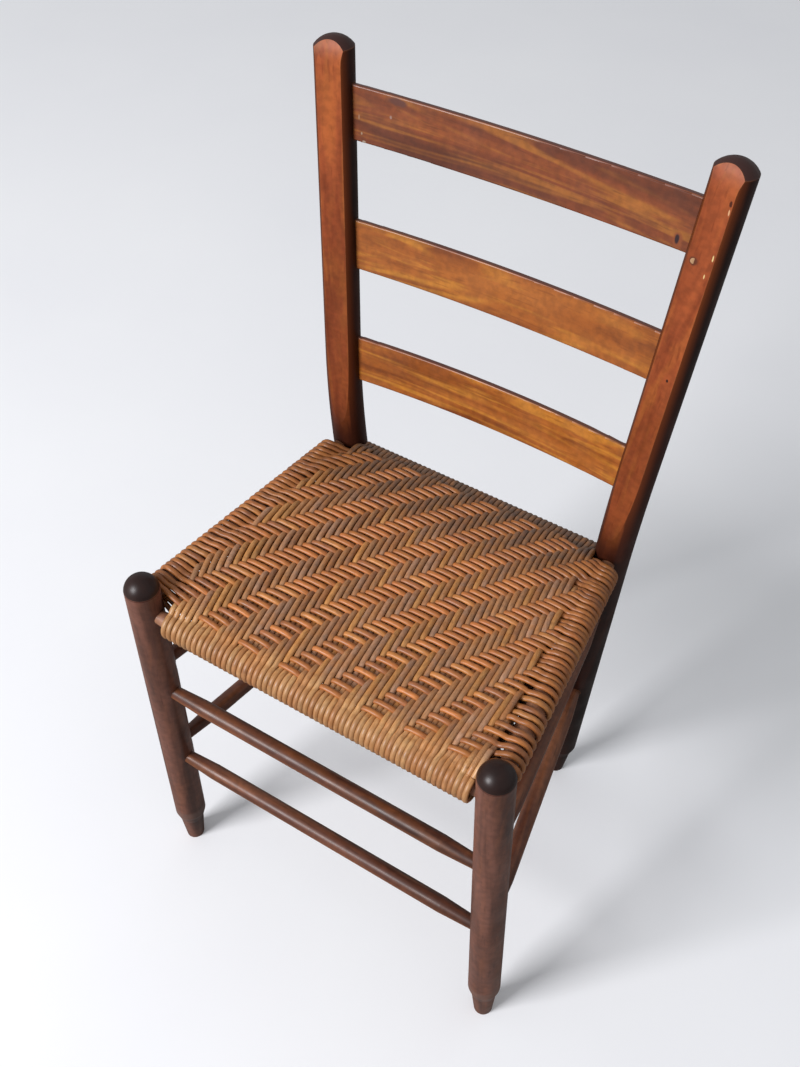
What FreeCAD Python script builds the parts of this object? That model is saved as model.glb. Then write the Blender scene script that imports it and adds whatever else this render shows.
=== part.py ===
import FreeCAD, Part
import Sketcher
import math
import os

from FreeCAD import Placement, Rotation, Vector

# Ladderback chair with a woven reed seat.
# Frame: +X to the sitter's left (right in a front view), the chair faces -Y, +Z up, millimetres.
# The origin is on the floor, under the middle of the chair's plan.

# Driving sizes. Heights are above the floor; rises and drops are from the piece that each line names.
SIZES = {
    # Front posts: turned, tapered, domed on top, with a peg foot; they rise above the front rail
    "front_post_rise": 48,
    "front_post_spacing": 379,
    "front_post_top_diameter": 34.5,
    "front_post_bottom_diameter": 35,
    "front_foot_splay": 13,
    "front_foot_lead": 5.5,
    "front_dome_height": 15,
    # Rear posts: straight leg, bend above the back rail, raked back, both fanned outwards
    "rear_post_height": 870,
    "rear_post_spacing": 319,
    "rear_post_diameter": 36,
    "rear_post_fan_angle": 3.55,
    "rear_foot_kick_angle": 1.4,
    "back_rake_angle": 7.05,
    "bend_rise": 73,
    "bend_radius": 900,
    "rear_dome_height": 9,
    "seat_depth": 297,
    # The shaved front of each rear post, turned a little inwards, from the bend to the dome
    "flat_depth": 4.3,
    "flat_turn_angle": 10,
    "flat_runout_rise": 0,
    "flat_runout_length": 72,
    "flat_runout_radius": 600,
    "flat_roll_length": 22,
    "flat_roll_radius": 45,
    # Feet of all four posts
    "foot_tip_diameter": 20.5,
    "foot_neck_diameter": 27.5,
    "foot_peg_height": 43,
    "foot_shoulder_height": 16,
    # Slats: bent backwards, full-width ends in the posts, evenly spaced from below the posts' tops
    # to above the back rail
    "slat_width": 50.5,
    "slat_thickness": 6,
    "slat_setback": 2,
    "slat_tenon_depth": 15,
    "slat_edge_round": 1.6,
    "top_slat_drop": 63,
    "bottom_slat_rise": 129,
    "top_slat_bow": 7.5,
    "middle_slat_bow": 9,
    "bottom_slat_bow": 10.5,
    # Rungs; where two meet in a post, the stagger is the wood left between their tenons
    "front_rung_diameter": 17.5,
    "side_rung_diameter": 18,
    "rear_rung_diameter": 16.5,
    "rung_taper_length": 35,
    "side_upper_rung_height": 352,
    "side_lower_rung_height": 204,
    "rear_rung_height": 272,
    "upper_rung_stagger": 22,
    "lower_rung_stagger": 1.5,
    # Seat rails; the side rails are above the front and back ones by a tenon and a stagger
    "seat_rail_diameter": 21,
    "rail_taper_length": 34,
    "front_rail_height": 445,
    "back_rail_height": 425,
    "front_rail_stagger": 1.5,
    "back_rail_stagger": 4,
    # Round mortise and tenon joints of rungs and rails
    "tenon_diameter": 14,
    "tenon_depth": 15,
    "joint_clearance": 0.15,
    "mortise_relief": 1,
    # Peg through the right end of the top slat
    "peg_diameter": 5,
    "peg_stand": 0.4,
    "peg_inset": 9,
    "peg_rise": 3.5,
    "peg_depth_past_slat": 4,
    # Woven seat
    "wrap_thickness": 4.4,
    "wrap_clearance": 0.8,
    "corner_gap": 7,
    # Valleys between the bands of the twill, which cross the seat slantwise
    "twill_repeat": 45,
    "twill_drift": 203,
    "valley_depth": 1.6,
    "valley_width": 12,
}

# Places of the woven seat's sections between its front and back rails, in parts of the seat's depth
SEAT_STATIONS = (0.08, 0.25, 0.5, 0.75, 0.92)
# Where each section across the seat bends, in parts of the half width
SEAT_BREAKS = (-1, -0.87, -0.5, 0, 0.5, 0.87, 1)
# Angles round a seat rail, in degrees, at which the woven seat's rolled edge has sections
ROLL_ANGLES = (15, 40, 65, 90)
# Number of sections along a twill valley, and how near the side rails it runs, in parts of the half width
VALLEY_STEPS = 9
VALLEY_REACH = 0.92
# The shortest valley that is cut, in repeats of the twill
SHORTEST_VALLEY = 2
# How far above the surface a valley's bottom ends, in valley depths, so that it runs out
VALLEY_RUNOUT = 0.5
# How far cutting tools run past what they cut
TOOL_OVERRUN = 6
# How far a leaning foot is made too long, before it is trimmed level with the floor
FOOT_TRIM = 3
# Side of the block that trims it, in rear post diameters
FLOOR_REACH = 4

LEFT, RIGHT = -1, 1
SIDES = ((LEFT, "left"), (RIGHT, "right"))
SLATS = ("top", "middle", "bottom")


# Places worked out from the driving sizes


def levels():
    """Heights above the floor that follow from the driving sizes."""
    tenon = SIZES["tenon_diameter"]
    worked = {
        "front_post_height": SIZES["front_rail_height"] + SIZES["front_post_rise"],
        "side_rail_front_height": SIZES["front_rail_height"] + tenon + SIZES["front_rail_stagger"],
        "side_rail_back_height": SIZES["back_rail_height"] + tenon + SIZES["back_rail_stagger"],
        "front_upper_rung_height": SIZES["side_upper_rung_height"] - tenon - SIZES["upper_rung_stagger"],
        "front_lower_rung_height": SIZES["side_lower_rung_height"] - tenon - SIZES["lower_rung_stagger"],
        "bend_height": SIZES["back_rail_height"] + SIZES["bend_rise"],
        "top_slat_height": SIZES["rear_post_height"] - SIZES["top_slat_drop"],
        "bottom_slat_height": SIZES["back_rail_height"] + SIZES["bottom_slat_rise"],
    }
    worked["middle_slat_height"] = (worked["top_slat_height"] + worked["bottom_slat_height"]) / 2
    return worked


LEVELS = levels()
size = {**SIZES, **LEVELS}


def radians(name):
    """A named angle in radians."""
    return math.radians(size[name])


def dome_sphere_radius(rim_radius, height):
    """Radius of the sphere that passes through a dome's rim and its top."""
    return (rim_radius ** 2 + height ** 2) / (2 * height)


def rear_bend_tangent():
    """Length from the bend's corner to either end of its arc."""
    turn = radians("rear_foot_kick_angle") + radians("back_rake_angle")
    return size["bend_radius"] * math.tan(turn / 2)


def front_taper_radius(height):
    """Radius of a front post at a height: straight from the shoulder's level to the dome."""
    top = size["front_post_top_diameter"] / 2
    bottom = size["front_post_bottom_diameter"] / 2
    share = height / size["front_post_height"]
    return bottom + (top - bottom) * share


def front_reach():
    """How far the front posts reach forward of their own top centres."""
    shoulder = size["foot_peg_height"] + size["foot_shoulder_height"]
    dome_base = size["front_post_height"] - size["front_dome_height"]
    reach = 0
    for height in (shoulder, dome_base):
        lead = size["front_foot_lead"] * (1 - height / size["front_post_height"])
        reach = max(reach, lead + front_taper_radius(height))
    return reach


def rear_reach():
    """How far the rear posts' tops reach behind the bend's corner."""
    radius = size["rear_post_diameter"] / 2
    rake = radians("back_rake_angle")
    rise = (size["rear_post_height"] - size["bend_height"]) / math.cos(radians("rear_post_fan_angle"))
    rim = rise * math.tan(rake) - size["rear_dome_height"] * math.sin(rake)
    return rim + radius * math.cos(rake)


# Y of the front posts' tops and of the rear posts' bends: the plan is centred on the origin
FRONT_Y = (front_reach() - size["seat_depth"] - rear_reach()) / 2
REAR_Y = FRONT_Y + size["seat_depth"]


def front_foot(side):
    """Centre of a front post's foot on the floor."""
    x = side * (size["front_post_spacing"] / 2 + size["front_foot_splay"])
    return Vector(x, FRONT_Y - size["front_foot_lead"], 0)


def front_top(side):
    """Top of a front post's dome."""
    return Vector(side * size["front_post_spacing"] / 2, FRONT_Y, size["front_post_height"])


def front_axis(side, height):
    """Centre of a front post at a height."""
    foot = front_foot(side)
    return foot + (front_top(side) - foot) * (height / size["front_post_height"])


def rear_frame(side):
    """Placement of a rear post's own plane: origin at the bend's corner, leaning out by the fan angle."""
    corner = Vector(side * size["rear_post_spacing"] / 2, REAR_Y, size["bend_height"])
    return Placement(corner, Rotation(Vector(0, 1, 0), side * size["rear_post_fan_angle"]))


def rear_bend_point(rise):
    """Y and Z of the rear post's centre line in its own plane, at a rise above the bend's corner."""
    kick = radians("rear_foot_kick_angle")
    rake = radians("back_rake_angle")
    tangent = rear_bend_tangent()
    low = -tangent * math.cos(kick)
    high = tangent * math.cos(rake)
    if rise <= low:
        return -rise * math.tan(kick)
    if rise >= high:
        return rise * math.tan(rake)
    centre_y = -low * math.tan(kick) + size["bend_radius"] * math.cos(kick)
    centre_z = low + size["bend_radius"] * math.sin(kick)
    return centre_y - math.sqrt(size["bend_radius"] ** 2 - (rise - centre_z) ** 2)


def rear_axis(side, height):
    """Centre of a rear post at a height."""
    rise = (height - size["bend_height"]) / math.cos(radians("rear_post_fan_angle"))
    return rear_frame(side).multVec(Vector(0, rear_bend_point(rise), rise))


def along(start, end):
    """Placement at the start point whose Z runs towards the end point."""
    return Placement(start, Rotation(Vector(0, 0, 1), end - start))


FRONT_STRETCHERS = ("front_upper_rung", "front_lower_rung", "front_rail")
BACK_STRETCHERS = ("rear_rung", "back_rail")
SIDE_STRETCHERS = {
    "upper_rung": ("side_upper_rung_height", "side_upper_rung_height"),
    "lower_rung": ("side_lower_rung_height", "side_lower_rung_height"),
    "rail": ("side_rail_front_height", "side_rail_back_height"),
}


def stretcher_ends():
    """Each rung's and rail's two ends on the posts' centre lines, with the posts' radii there."""
    rear_radius = size["rear_post_diameter"] / 2
    ends = {}
    for name in FRONT_STRETCHERS:
        level = size[name + "_height"]
        radius = front_taper_radius(level)
        ends[name] = (front_axis(LEFT, level), front_axis(RIGHT, level), radius, radius)
    for name in BACK_STRETCHERS:
        level = size[name + "_height"]
        ends[name] = (rear_axis(LEFT, level), rear_axis(RIGHT, level), rear_radius, rear_radius)
    for side, word in SIDES:
        for name, (front, back) in SIDE_STRETCHERS.items():
            ends["%s_%s" % (word, name)] = (front_axis(side, size[front]), rear_axis(side, size[back]),
                                            front_taper_radius(size[front]), rear_radius)
    return ends


STRETCHERS = stretcher_ends()


def tenon_tips(name):
    """The two end points of a rung or rail, inside its posts."""
    first, second, first_radius, second_radius = STRETCHERS[name]
    run = (second - first).normalize()
    first_tip = first + run * (first_radius - size["tenon_depth"])
    second_tip = second - run * (second_radius - size["tenon_depth"])
    return first_tip, second_tip


def slat_frame(name):
    """Placement of a slat: X along it, Z up the raked back, origin midway between the posts."""
    centre = rear_axis(RIGHT, size[name + "_slat_height"])
    place = Placement(Vector(0, centre.y, centre.z), Rotation(Vector(1, 0, 0), -size["back_rake_angle"]))
    return place.multiply(Placement(Vector(0, size["slat_setback"], 0), Rotation()))


def slat_half_length(name):
    """Half of a slat's straight length, tenons included."""
    inset = size["rear_post_diameter"] / 2 - size["slat_tenon_depth"]
    return rear_axis(RIGHT, size[name + "_slat_height"]).x - inset


def flat_before_peg():
    """How far the shaved flat lies in front of the rear post's centre line where the peg goes in."""
    turn = radians("flat_turn_angle")
    face = size["rear_post_diameter"] / 2 - size["flat_depth"]
    return (face - size["peg_inset"] * math.sin(turn)) / math.cos(turn)


def seat_span():
    """Heights just below and just above the woven seat."""
    reach = size["seat_rail_diameter"] / 2 + size["wrap_clearance"] + size["wrap_thickness"] + TOOL_OVERRUN
    rails = [size[name] for name in ("front_rail_height", "back_rail_height",
                                     "side_rail_front_height", "side_rail_back_height")]
    return min(rails) - reach, max(rails) + reach


def layout():
    """Sizes that follow from the driving ones, for the sketches to read."""
    front_length = (front_top(RIGHT) - front_foot(RIGHT)).Length
    rear_radius = size["rear_post_diameter"] / 2
    fan = math.cos(radians("rear_post_fan_angle"))
    kick = radians("rear_foot_kick_angle")
    rake = radians("back_rake_angle")
    back_length = (size["rear_post_height"] - size["bend_height"]) / fan / math.cos(rake) - rear_bend_tangent()
    worked = {
        "front_post_length": front_length,
        "rear_leg_length": size["bend_height"] / fan / math.cos(kick) - rear_bend_tangent(),
        "rear_back_length": back_length,
        "bend_turn": math.degrees(kick + rake),
        "runout_from_bend": size["flat_runout_rise"] / fan / math.cos(rake) - rear_bend_tangent(),
        "notch_length": seat_span()[1] - seat_span()[0],
        "flat_before_peg": flat_before_peg(),
    }
    for name, rim, height, length in (
            ("front", size["front_post_top_diameter"] / 2, size["front_dome_height"], front_length),
            ("rear", rear_radius, size["rear_dome_height"], back_length)):
        sphere = dome_sphere_radius(rim, height)
        half = math.asin(rim / sphere) / 2 if height <= rim else (math.pi - math.asin(rim / sphere)) / 2
        worked[name + "_dome_side"] = sphere * math.sin(half)
        worked[name + "_dome_level"] = length - sphere + sphere * math.cos(half)
    for name in STRETCHERS:
        first_tip, second_tip = tenon_tips(name)
        worked[name + "_length"] = (second_tip - first_tip).Length
    for name in SLATS:
        worked[name + "_slat_half_length"] = slat_half_length(name)
    return worked


# Document, sheets and sketch helpers

doc = FreeCAD.newDocument("LadderbackChair")


def add_sheet(name, values):
    """A sheet with one named number in each row."""
    sheet = doc.addObject("Spreadsheet::Sheet", name)
    for row, (alias, value) in enumerate(values.items(), start=1):
        sheet.set("A%d" % row, alias.replace("_", " "))
        sheet.set("B%d" % row, repr(float(value)))
        sheet.setAlias("B%d" % row, alias)
    return sheet


sizes_sheet = add_sheet("Sizes", SIZES)
layout_sheet = add_sheet("Layout", layout())
doc.recompute()


def cell(text):
    """An expression with each bare name turned into its cell on one of the two sheets."""
    words = text.replace("(", " ( ").replace(")", " ) ").split()
    named = []
    for word in words:
        if word in SIZES:
            named.append("Sizes." + word)
        elif word.replace("_", "").isalpha():
            named.append("Layout." + word)
        else:
            named.append(word)
    return " ".join(named)


def number(text):
    """What an expression comes to now."""
    return float(sizes_sheet.evalExpression(cell(text)))


def origin_plane(body, role):
    """One of a body's own origin planes."""
    return next(item for item in body.Origin.OriginFeatures if item.Role == role)


def add_body(name, place=Placement()):
    """An empty body with its place."""
    body = doc.addObject("PartDesign::Body", name)
    body.Placement = place
    return body


def pin_point(sketch, geometry, vertex, point):
    """Holds one vertex at two expressions, measured from the sketch's origin."""
    for kind, axis, text in (("DistanceX", -2, point[0]), ("DistanceY", -1, point[1])):
        if text == "0":
            sketch.addConstraint(Sketcher.Constraint("PointOnObject", geometry, vertex, axis))
            continue
        index = sketch.addConstraint(Sketcher.Constraint(kind, -1, 1, geometry, vertex, number(text)))
        sketch.setExpression("Constraints[%d]" % index, cell(text))


def outline_sketch(body, role, name, points, curves=None):
    """A closed outline through points given as pairs of expressions.

    curves maps the index of an edge to the point that its arc passes through; other edges are straight.
    """
    sketch = body.newObject("Sketcher::SketchObject", name)
    sketch.AttachmentSupport = [(origin_plane(body, role), "")]
    sketch.MapMode = "FlatFace"
    places = [Vector(number(x), number(y), 0) for x, y in points]
    ends = []
    for index, start in enumerate(places):
        end = places[(index + 1) % len(places)]
        through = (curves or {}).get(index)
        if through is None:
            geometry = sketch.addGeometry(Part.LineSegment(start, end), False)
            ends.append((geometry, 1, 2))
            continue
        middle = Vector(number(through[0]), number(through[1]), 0)
        geometry = sketch.addGeometry(Part.Arc(start, middle, end), False)
        forward = sketch.getPoint(geometry, 1).isEqual(start, 1e-6)
        ends.append((geometry, 1, 2) if forward else (geometry, 2, 1))
        mark = sketch.addGeometry(Part.Point(middle), True)
        sketch.addConstraint(Sketcher.Constraint("PointOnObject", mark, 1, geometry))
        pin_point(sketch, mark, 1, through)
    for index, (geometry, first, last) in enumerate(ends):
        following, next_first, _ = ends[(index + 1) % len(ends)]
        sketch.addConstraint(Sketcher.Constraint("Coincident", geometry, last, following, next_first))
        pin_point(sketch, geometry, first, points[index])
    return sketch


def turn_profile(body, name, points, curves=None):
    """Turns an outline in the XZ plane round the body's Z axis."""
    sketch = outline_sketch(body, "XZ_Plane", name + "_profile", points, curves)
    turned = body.newObject("PartDesign::Revolution", name + "_turning")
    turned.Profile = sketch
    turned.ReferenceAxis = (sketch, ["V_Axis"])
    turned.Angle = 360
    body.Tip = turned
    return turned


def add_cylinder(name, place, radius, height):
    """A cylinder whose radius and height are expressions."""
    rod = doc.addObject("Part::Cylinder", name)
    rod.setExpression("Radius", cell(radius))
    rod.setExpression("Height", cell(height))
    rod.Placement = place
    return rod


def cut(name, base, tools):
    """The base with all the tools taken away."""
    tool = tools[0]
    if len(tools) > 1:
        tool = doc.addObject("Part::MultiFuse", name + "_cutters")
        tool.Shapes = tools
    result = doc.addObject("Part::Cut", name)
    result.Base = base
    result.Tool = tool
    result.Label = name
    return result


# Round tenons and their mortises


def mortise(name, end):
    """The bore in a post for one end (0 or 1) of a rung or rail."""
    tips = tenon_tips(name)
    outward = (tips[1 - end] - tips[end]).normalize()
    start = tips[end] - outward * size["mortise_relief"]
    return add_cylinder("%s_mortise_%d" % (name, end), along(start, tips[1 - end]),
                        "tenon_diameter / 2 + joint_clearance",
                        "tenon_depth + mortise_relief + %d" % TOOL_OVERRUN)


def make_stretcher(name, middle_diameter, taper):
    """A rung or rail: round tenons, a taper at each end and a round middle, turned in one piece."""
    tips = tenon_tips(name)
    body = add_body(name, along(*tips))
    length = name + "_length"
    thick = "%s / 2" % middle_diameter
    thin = "tenon_diameter / 2"
    turn_profile(body, name, [
        ("0", "0"),
        (thin, "0"),
        (thin, "tenon_depth"),
        (thick, "tenon_depth + %s" % taper),
        (thick, "%s - tenon_depth - %s" % (length, taper)),
        (thin, "%s - tenon_depth" % length),
        (thin, length),
        ("0", length),
    ])
    body.Label = name
    return body


# Feet


FOOT_OUTLINE = [
    ("0", "- %d" % FOOT_TRIM),
    ("foot_tip_diameter / 2", "- %d" % FOOT_TRIM),
    ("foot_tip_diameter / 2", "0"),
    ("foot_neck_diameter / 2", "foot_peg_height"),
]


def make_floor(name, foot):
    """A block under the floor at one foot, which trims a leaning post's foot level."""
    floor = doc.addObject("Part::Box", name + "_floor")
    reach = FLOOR_REACH * size["rear_post_diameter"]
    floor.Length = reach
    floor.Width = reach
    floor.Height = reach
    floor.Placement = Placement(Vector(foot.x - reach / 2, foot.y - reach / 2, -reach), Rotation())
    return floor


# Front posts


def make_front_post(side):
    """A front post: peg foot, shoulder, tapered shaft and dome, with its mortises."""
    word = dict(SIDES)[side]
    post = "front_%s_post" % word
    foot, top = front_foot(side), front_top(side)
    body = add_body(post + "_turned", along(foot, top))
    shoulder = "foot_peg_height + foot_shoulder_height"
    turn_profile(body, post, FOOT_OUTLINE + [
        ("front_post_bottom_diameter / 2", shoulder),
        ("front_post_top_diameter / 2", "front_post_length - front_dome_height"),
        ("0", "front_post_length"),
    ], {5: ("front_dome_side", "front_dome_level")})
    end = 0 if side == LEFT else 1
    tools = [make_floor(post, foot)]
    tools.extend(mortise(name, end) for name in FRONT_STRETCHERS)
    tools.extend(mortise("%s_%s" % (word, kind), 0) for kind in SIDE_STRETCHERS)
    return cut(post, body, tools)


# Rear posts


def rear_local(side, rise, turn):
    """Placement on a rear post's centre line: at a rise from the bend's corner, Z along the post."""
    tilt = Placement(Vector(0, rear_bend_point(rise), rise), Rotation(Vector(1, 0, 0), turn))
    return rear_frame(side).multiply(tilt)


def make_rear_post(side):
    """A rear post: turned leg and back, bent between them, shaved flat in front, with its mortises."""
    word = dict(SIDES)[side]
    post = "rear_%s_post" % word
    kick, rake = size["rear_foot_kick_angle"], size["back_rake_angle"]
    tangent = rear_bend_tangent()
    fan = math.cos(radians("rear_post_fan_angle"))

    foot_place = rear_local(side, -size["bend_height"] / fan, kick)
    leg = add_body(post + "_leg", foot_place)
    turn_profile(leg, post + "_leg", FOOT_OUTLINE + [
        ("rear_post_diameter / 2", "foot_peg_height + foot_shoulder_height"),
        ("rear_post_diameter / 2", "rear_leg_length"),
        ("0", "rear_leg_length"),
    ])

    back_place = rear_local(side, tangent * math.cos(math.radians(rake)), -rake)
    back = add_body(post + "_back", back_place)
    turn_profile(back, post + "_back", [
        ("0", "0"),
        ("rear_post_diameter / 2", "0"),
        ("rear_post_diameter / 2", "rear_back_length - rear_dome_height"),
        ("0", "rear_back_length"),
    ], {2: ("rear_dome_side", "rear_dome_level")})

    bend = doc.addObject("Part::Torus", post + "_bend")
    bend.setExpression("Radius1", cell("bend_radius"))
    bend.setExpression("Radius2", cell("rear_post_diameter / 2"))
    bend.setExpression("Angle3", cell("bend_turn"))
    # The ring's own axis is Z and its arc starts on +X: laid on its side, its arc runs up the bend
    start = rear_local(side, -tangent * math.cos(math.radians(kick)), kick)
    centre = start.multVec(Vector(0, size["bend_radius"], 0))
    inward = start.Rotation.multVec(Vector(0, -1, 0))
    upward = start.Rotation.multVec(Vector(0, 0, 1))
    axis = inward.cross(upward)
    bend.Placement = Placement(centre, Rotation(inward, upward, axis, "ZXY"))

    whole = doc.addObject("Part::MultiFuse", post + "_whole")
    whole.Shapes = [leg, bend, back]
    whole.Refine = True

    end = 0 if side == LEFT else 1
    inwards = Placement(Vector(), Rotation(Vector(0, 0, 1), -side * size["flat_turn_angle"]))
    tools = [make_floor(post, foot_place.Base), make_flat_cutter(post, back_place.multiply(inwards))]
    tools.extend(mortise(name, end) for name in BACK_STRETCHERS)
    tools.extend(mortise("%s_%s" % (word, kind), 1) for kind in SIDE_STRETCHERS)
    tools.extend(slat_cutters)
    if side == RIGHT:
        tools.append(peg_cutter)
    return cut(post, whole, tools)


def make_flat_cutter(name, place):
    """What is shaved from a rear post's front: a plane that runs out below and rolls back at the top."""
    body = add_body(name + "_shaving", place)
    plane = "- rear_post_diameter / 2 + flat_depth"
    outside = "- rear_post_diameter"
    low = "runout_from_bend"
    top = "rear_back_length"
    roll = "%s - flat_roll_length" % top
    runout_length = size["flat_runout_length"]
    runout_drop = "%s - %s" % (low, runout_length)
    runout_middle = "%s - %s" % (low, runout_length / 2)
    radius = size["flat_runout_radius"]
    full = radius - math.sqrt(radius ** 2 - runout_length ** 2)
    half = radius - math.sqrt(radius ** 2 - (runout_length / 2) ** 2)
    roll_reach = size["flat_roll_length"] + TOOL_OVERRUN
    roll_radius = size["flat_roll_radius"]
    roll_full = roll_radius - math.sqrt(roll_radius ** 2 - roll_reach ** 2)
    roll_half = roll_radius - math.sqrt(roll_radius ** 2 - (roll_reach / 2) ** 2)
    sketch = outline_sketch(body, "YZ_Plane", name + "_shaving_outline", [
        (outside, runout_drop),
        ("%s - %s" % (plane, full), runout_drop),
        (plane, low),
        (plane, roll),
        ("%s + %s" % (plane, roll_full), "%s + %s" % (roll, roll_reach)),
        (outside, "%s + %s" % (roll, roll_reach)),
    ], {1: ("%s - %s" % (plane, half), runout_middle),
        3: ("%s + %s" % (plane, roll_half), "%s + %s" % (roll, roll_reach / 2))})
    pad = body.newObject("PartDesign::Pad", name + "_shaving_pad")
    pad.Profile = sketch
    pad.Midplane = True
    pad.setExpression("Length", cell("2 * rear_post_diameter"))
    body.Tip = pad
    return body


# Slats


def bent_board(name, slat, half_length, thickness, width, rounded):
    """A board bent backwards: an outline of two arcs, padded to its width."""
    body = add_body(name, slat_frame(slat))
    bow = "%s_slat_bow" % slat
    half = thickness + " / 2"
    front, back = "- %s" % half, half
    sketch = outline_sketch(body, "XY_Plane", name + "_outline", [
        ("- ( %s )" % half_length, front),
        (half_length, front),
        (half_length, back),
        ("- ( %s )" % half_length, back),
    ], {0: ("0", "%s - %s" % (bow, half)), 2: ("0", "%s + %s" % (bow, half))})
    pad = body.newObject("PartDesign::Pad", name + "_pad")
    pad.Profile = sketch
    pad.Midplane = True
    pad.setExpression("Length", cell(width))
    body.Tip = pad
    if rounded:
        doc.recompute()
        long_edges = ["Edge%d" % (index + 1) for index, edge in enumerate(pad.Shape.Edges)
                      if edge.Length > number(half_length)]
        round_over = body.newObject("PartDesign::Fillet", name + "_round")
        round_over.Base = (pad, long_edges)
        round_over.setExpression("Radius", cell("slat_edge_round"))
        body.Tip = round_over
    return body


def make_slat_cutter(slat):
    """The slots that a slat's two ends need in the posts."""
    return bent_board("%s_slat_slots" % slat, slat,
                      "%s_slat_half_length + mortise_relief" % slat,
                      "( slat_thickness + 2 * joint_clearance )",
                      "slat_width + 2 * joint_clearance", False)


def make_slat(slat):
    """A slat; the top one has a hole for its peg."""
    name = "%s_slat" % slat
    board = bent_board(name if slat != "top" else name + "_board", slat,
                       "%s_slat_half_length" % slat, "slat_thickness", "slat_width", True)
    if slat == "top":
        return cut(name, board, [peg_cutter])
    board.Label = name
    return board


# Peg


def peg_place():
    """Where the peg starts: on the right post's flat, in front of the top slat's end, low on it."""
    frame = slat_frame("top")
    x = slat_half_length("top") + size["rear_post_diameter"] / 2 - size["slat_tenon_depth"] - size["peg_inset"]
    front = -flat_before_peg() - size["slat_setback"] - size["peg_stand"]
    low = size["peg_rise"] - size["slat_width"] / 2
    return frame.multiply(Placement(Vector(x, front, low), Rotation(Vector(1, 0, 0), -90)))


PEG_LENGTH = "peg_stand + flat_before_peg + slat_setback + slat_thickness / 2 + peg_depth_past_slat"


# Woven seat


def seat_level(across, front_share, end_height, side_height):
    """Middle height of the woven sheet: the end rails' height at the ends, the side rails' at the sides.

    Between them each set of strands gives way to the other by how near its own rails are.
    """
    to_ends = 4 * front_share * (1 - front_share)
    to_sides = 1 - across ** 2
    if to_sides == 0:
        return side_height
    return end_height + (side_height - end_height) * to_ends / (to_ends + to_sides)


def seat_section(y, half_height, front_share):
    """One closed section of the woven seat across the chair: round sides, dipping top and bottom."""
    side_front, side_back = STRETCHERS["right_rail"][:2]
    side = side_back + (side_front - side_back) * front_share
    end_height = size["front_rail_height"] * front_share + size["back_rail_height"] * (1 - front_share)
    upper, lower = [], []
    for across in SEAT_BREAKS:
        level = seat_level(across, front_share, end_height, side.z)
        upper.append(Vector(across * side.x, y, level + half_height))
        lower.append(Vector(across * side.x, y, level - half_height))
    right = Vector(side.x + half_height, y, side.z)
    left = Vector(-side.x - half_height, y, side.z)
    edges = [Part.makeLine(*pair) for pair in zip(upper, upper[1:])]
    edges.append(Part.Arc(upper[-1], right, lower[-1]).toShape())
    lower.reverse()
    edges.extend(Part.makeLine(*pair) for pair in zip(lower, lower[1:]))
    edges.append(Part.Arc(lower[-1], left, upper[0]).toShape())
    return Part.Wire(edges)


def seat_form(roll_radius):
    """The seat's outer or inner form: a sheet folded round the four rails, roll_radius from their centres."""
    front_y = STRETCHERS["front_rail"][0].y
    back_y = STRETCHERS["back_rail"][0].y
    sections = []
    for angle in ROLL_ANGLES:
        turn = math.radians(angle)
        sections.append(seat_section(front_y - roll_radius * math.cos(turn), roll_radius * math.sin(turn), 1))
    for station in SEAT_STATIONS:
        sections.append(seat_section(front_y + (back_y - front_y) * station, roll_radius, 1 - station))
    for angle in reversed(ROLL_ANGLES):
        turn = math.radians(angle)
        sections.append(seat_section(back_y + roll_radius * math.cos(turn), roll_radius * math.sin(turn), 0))
    return Part.makeLoft(sections, True, True)


def skin_level(x, y):
    """Middle height of the woven sheet as its form has it: straight between the sections and their bends."""
    front_y = STRETCHERS["front_rail"][0].y
    back_y = STRETCHERS["back_rail"][0].y
    side_front, side_back = STRETCHERS["right_rail"][:2]
    share = (y - front_y) / (back_y - front_y)
    across = x / (side_front.x + (side_back.x - side_front.x) * share)
    shares = (0,) + SEAT_STATIONS + (1,)
    row = max(index for index in range(len(shares) - 1) if shares[index] <= max(share, 0))
    column = max(index for index in range(len(SEAT_BREAKS) - 1) if SEAT_BREAKS[index] <= max(across, -1))
    levels_at_rows = []
    for station in shares[row:row + 2]:
        end_height = size["front_rail_height"] * (1 - station) + size["back_rail_height"] * station
        side_height = side_front.z + (side_back.z - side_front.z) * station
        near, far = (seat_level(stop, 1 - station, end_height, side_height)
                     for stop in SEAT_BREAKS[column:column + 2])
        part_across = (across - SEAT_BREAKS[column]) / (SEAT_BREAKS[column + 1] - SEAT_BREAKS[column])
        levels_at_rows.append(near + (far - near) * part_across)
    part_back = (share - shares[row]) / (shares[row + 1] - shares[row])
    return levels_at_rows[0] + (levels_at_rows[1] - levels_at_rows[0]) * part_back


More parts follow.
